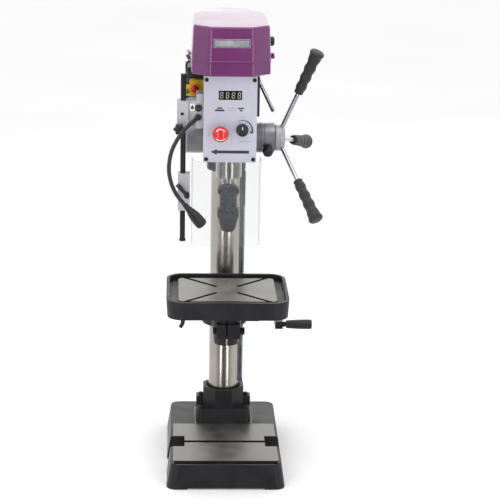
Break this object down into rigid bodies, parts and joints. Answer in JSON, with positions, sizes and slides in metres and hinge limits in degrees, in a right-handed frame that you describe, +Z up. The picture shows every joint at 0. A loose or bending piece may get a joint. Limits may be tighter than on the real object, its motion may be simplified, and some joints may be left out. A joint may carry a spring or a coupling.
{
  "type": "bench drill press",
  "caption": "Bench drill press with a purple belt cover, a rack-and-crank work table, a spoked quill feed, a keyless chuck, a clear swinging guard and a gooseneck lamp.",
  "frame": {"origin": "on the bench, under the middle of the column", "axes": "+Z up along the column, -Y towards the operator and the spindle, +X to the operator's right"},
  "size_m": [0.3476, 0.546, 1.062],
  "materials": {
    "cast_dark": "semi-gloss black paint on cast iron",
    "ground_steel": "ground",
    "bright_steel": "bright",
    "aluminium": "die cast",
    "head_grey": "light grey paint",
    "panel_grey": "satin grey paint",
    "purple": "gloss purple paint",
    "black_plastic": "moulded",
    "black_paint": "satin black paint",
    "grip_rubber": "moulded grip",
    "black_steel": "blackened",
    "red_plastic": "gloss",
    "green_plastic": "gloss",
    "yellow_plastic": "gloss",
    "belt_rubber": "belt",
    "clear_plastic": "clear"
  },
  "bodies": {
    "stand": {"base_casting": "cast_dark", "column_flange": "cast_dark", "column_tube": "ground_steel", "rack_ring": "ground_steel", "head_casting": "head_grey", "control_panel": "panel_grey", "side_box": "head_grey", "drive_box": "black_paint", "switch_station": "yellow_plastic", "belt_tray": "purple", "switch_cable": "black_plastic", "guard_bracket": "head_grey", "spring_cup": "aluminium", "return_spring": "bright_steel", "drive_belt": "belt_rubber"},
    "rack": {"column_rack": "bright_steel"},
    "arm": {"table_arm": "cast_dark"},
    "table": {"table_top": "cast_dark"},
    "clamp_bolt": {"table_clamp_bolt": "bright_steel"},
    "arm_lock": {"arm_lock_lever": "black_steel"},
    "pinion": {"table_pinion": "bright_steel"},
    "crank": {"worm_shaft": "bright_steel", "crank_arm": "black_paint"},
    "crank_handle": {"crank_grip": "grip_rubber"},
    "quill": {"quill": "ground_steel"},
    "spindle": {"spindle": "bright_steel", "chuck_body": "black_steel"},
    "sleeve": {"chuck_sleeve": "black_steel"},
    "jaw_1": {"chuck_jaw_1": "bright_steel"},
    "jaw_2": {"chuck_jaw_2": "bright_steel"},
    "jaw_3": {"chuck_jaw_3": "bright_steel"},
    "driven_pulley": {"spindle_pulley": "aluminium"},
    "motor": {"motor_mount": "black_steel", "motor_body": "black_paint"},
    "motor_shaft": {"motor_pulley": "aluminium"},
    "tensioner": {"tension_lever": "bright_steel"},
    "feed": {"feed_shaft": "bright_steel", "feed_hub": "aluminium", "feed_rod_1": "bright_steel", "feed_rod_2": "bright_steel", "feed_rod_3": "bright_steel", "feed_grip_1": "grip_rubber", "feed_grip_2": "grip_rubber", "feed_grip_3": "grip_rubber"},
    "stop_ring": {"depth_ring": "aluminium"},
    "stop_lock": {"depth_lock_knob": "black_plastic"},
    "lid": {"belt_lid": "purple"},
    "latch": {"latch_knob": "black_plastic"},
    "estop": {"emergency_stop": "red_plastic"},
    "dial": {"speed_knob": "black_plastic"},
    "coolant": {"coolant_button": "black_plastic"},
    "off_button": {"stop_button": "red_plastic"},
    "on_button": {"start_button": "green_plastic"},
    "post": {"guard_post": "black_steel"},
    "post_clamp": {"post_knob": "black_plastic"},
    "guard": {"guard_slider": "head_grey", "guard_screen": "clear_plastic"},
    "guard_lever": {"guard_clamp_lever": "black_plastic"},
    "lamp": {"lamp_neck": "black_plastic", "lamp_head": "black_plastic"}
  },
  "joints": [
    {"name": "table_swing", "type": "hinge", "parent": "stand", "child": "rack", "pos_m": [0, 0, 0.151], "axis": [0, 0, 1], "range_deg": [-180, 180]},
    {"name": "table_lift", "type": "slide", "parent": "rack", "child": "arm", "axis": [0, 0, 1], "range_m": [-0.14, 0.05]},
    {"name": "table_turn", "type": "hinge", "parent": "arm", "child": "table", "pos_m": [0, -0.19, 0.4027], "axis": [0, 0, 1], "range_deg": [-30, 30]},
    {"name": "clamp_bolt_turn", "type": "hinge", "parent": "arm", "child": "clamp_bolt", "pos_m": [0, -0.2206, 0.35], "axis": [1, 0, 0], "range_deg": [-90, 90]},
    {"name": "arm_lock_turn", "type": "hinge", "parent": "arm", "child": "arm_lock", "pos_m": [0, 0.063, 0.351], "axis": [1, 0, 0], "range_deg": [-30, 50]},
    {"name": "pinion_turn", "type": "hinge", "parent": "arm", "child": "pinion", "pos_m": [0.05669, 0, 0.347], "axis": [0, 1, 0], "continuous": true},
    {"name": "crank_turn", "type": "hinge", "parent": "arm", "child": "crank", "pos_m": [0.119, 0.016, 0.3239], "axis": [1, 0, 0], "continuous": true},
    {"name": "crank_handle_spin", "type": "hinge", "parent": "crank", "child": "crank_handle", "pos_m": [0.148, -0.086, 0.3239], "axis": [1, 0, 0], "continuous": true},
    {"name": "quill_feed", "type": "slide", "parent": "stand", "child": "quill", "axis": [0, 0, -1], "range_m": [0, 0.08], "stiffness_N_per_m": 300, "springref_m": -0.3},
    {"name": "spindle_turn", "type": "hinge", "parent": "quill", "child": "spindle", "pos_m": [0, -0.19, 0.6854], "axis": [0, 0, 1], "continuous": true},
    {"name": "chuck_key_turn", "type": "hinge", "parent": "spindle", "child": "sleeve", "pos_m": [0, -0.19, 0.636], "axis": [0, 0, 1], "range_deg": [0, 720]},
    {"name": "jaw_1_slide", "type": "slide", "parent": "spindle", "child": "jaw_1", "axis": [0, -0.2756, -0.9613], "range_m": [0, 0.008]},
    {"name": "jaw_2_slide", "type": "slide", "parent": "spindle", "child": "jaw_2", "axis": [0.2387, 0.1378, -0.9613], "range_m": [0, 0.008]},
    {"name": "jaw_3_slide", "type": "slide", "parent": "spindle", "child": "jaw_3", "axis": [-0.2387, 0.1378, -0.9613], "range_m": [0, 0.008]},
    {"name": "driven_pulley_turn", "type": "hinge", "parent": "stand", "child": "driven_pulley", "pos_m": [0, -0.19, 0.967], "axis": [0, 0, 1], "continuous": true},
    {"name": "motor_slide", "type": "slide", "parent": "stand", "child": "motor", "axis": [0, 1, 0], "range_m": [-0.006, 0]},
    {"name": "motor_turn", "type": "hinge", "parent": "motor", "child": "motor_shaft", "pos_m": [0, 0.132, 0.967], "axis": [0, 0, 1], "continuous": true},
    {"name": "tension_lever_turn", "type": "hinge", "parent": "stand", "child": "tensioner", "pos_m": [0.057, -0.1, 0.922], "axis": [1, 0, 0], "range_deg": [-36, 2]},
    {"name": "feed_turn", "type": "hinge", "parent": "stand", "child": "feed", "pos_m": [0, -0.14839, 0.79], "axis": [1, 0, 0], "range_deg": [0, 306]},
    {"name": "stop_ring_turn", "type": "hinge", "parent": "stand", "child": "stop_ring", "pos_m": [0.0616, -0.14839, 0.79], "axis": [1, 0, 0], "range_deg": [0, 300]},
    {"name": "stop_lock_turn", "type": "hinge", "parent": "stop_ring", "child": "stop_lock", "pos_m": [0.0879, -0.17783, 0.773], "axis": [0, -0.866, -0.5], "range_deg": [-180, 180]},
    {"name": "lid_open", "type": "hinge", "parent": "stand", "child": "lid", "pos_m": [-0.0946, -0.175, 0.985], "axis": [0, -1, 0], "range_deg": [0, 100]},
    {"name": "latch_turn", "type": "hinge", "parent": "lid", "child": "latch", "pos_m": [0.087, -0.15, 1.011], "axis": [1, 0, 0], "range_deg": [0, 90]},
    {"name": "estop_push", "type": "slide", "parent": "stand", "child": "estop", "axis": [0, 1, 0], "range_m": [0, 0.004], "stiffness_N_per_m": 800, "springref_m": -0.002},
    {"name": "dial_turn", "type": "hinge", "parent": "stand", "child": "dial", "pos_m": [0.0271, -0.246, 0.827], "axis": [0, 1, 0], "range_deg": [0, 270]},
    {"name": "coolant_push", "type": "slide", "parent": "stand", "child": "coolant", "axis": [0, 1, 0], "range_m": [0, 0.002], "stiffness_N_per_m": 400, "springref_m": -0.001},
    {"name": "off_push", "type": "slide", "parent": "stand", "child": "off_button", "axis": [0, 1, 0], "range_m": [0, 0.003], "stiffness_N_per_m": 400, "springref_m": -0.001},
    {"name": "on_push", "type": "slide", "parent": "stand", "child": "on_button", "axis": [0, 1, 0], "range_m": [0, 0.002], "stiffness_N_per_m": 400, "springref_m": -0.001},
    {"name": "post_slide", "type": "slide", "parent": "stand", "child": "post", "axis": [0, 0, 1], "range_m": [-0.05, 0]},
    {"name": "post_clamp_turn", "type": "hinge", "parent": "stand", "child": "post_clamp", "pos_m": [-0.113, -0.242, 0.829], "axis": [0, 1, 0], "range_deg": [-180, 180]},
    {"name": "guard_swing", "type": "hinge", "parent": "post", "child": "guard", "pos_m": [-0.104, -0.225, 0.64], "axis": [0, 0, 1], "range_deg": [-38, 0]},
    {"name": "guard_lever_turn", "type": "hinge", "parent": "guard", "child": "guard_lever", "pos_m": [-0.0944, -0.24, 0.677], "axis": [0, 1, 0], "range_deg": [-40, 40]},
    {"name": "lamp_swing", "type": "hinge", "parent": "stand", "child": "lamp", "pos_m": [-0.0709, -0.235, 0.8525], "axis": [0, 1, 0], "range_deg": [0, 25]}
  ],
  "couplings": [
    {"joint": "pinion_turn", "follows": "table_lift", "rad_per_m": -83.333},
    {"joint": "crank_turn", "follows": "table_lift", "rad_per_m": 250},
    {"joint": "driven_pulley_turn", "follows": "spindle_turn", "ratio": 1},
    {"joint": "motor_turn", "follows": "spindle_turn", "ratio": 2},
    {"joint": "tension_lever_turn", "follows": "motor_slide", "rad_per_m": 100},
    {"joint": "feed_turn", "follows": "quill_feed", "rad_per_m": 66.667},
    {"joint": "jaw_1_slide", "follows": "chuck_key_turn", "m_per_rad": 0.00063662},
    {"joint": "jaw_2_slide", "follows": "chuck_key_turn", "m_per_rad": 0.00063662},
    {"joint": "jaw_3_slide", "follows": "chuck_key_turn", "m_per_rad": 0.00063662}
  ]
}
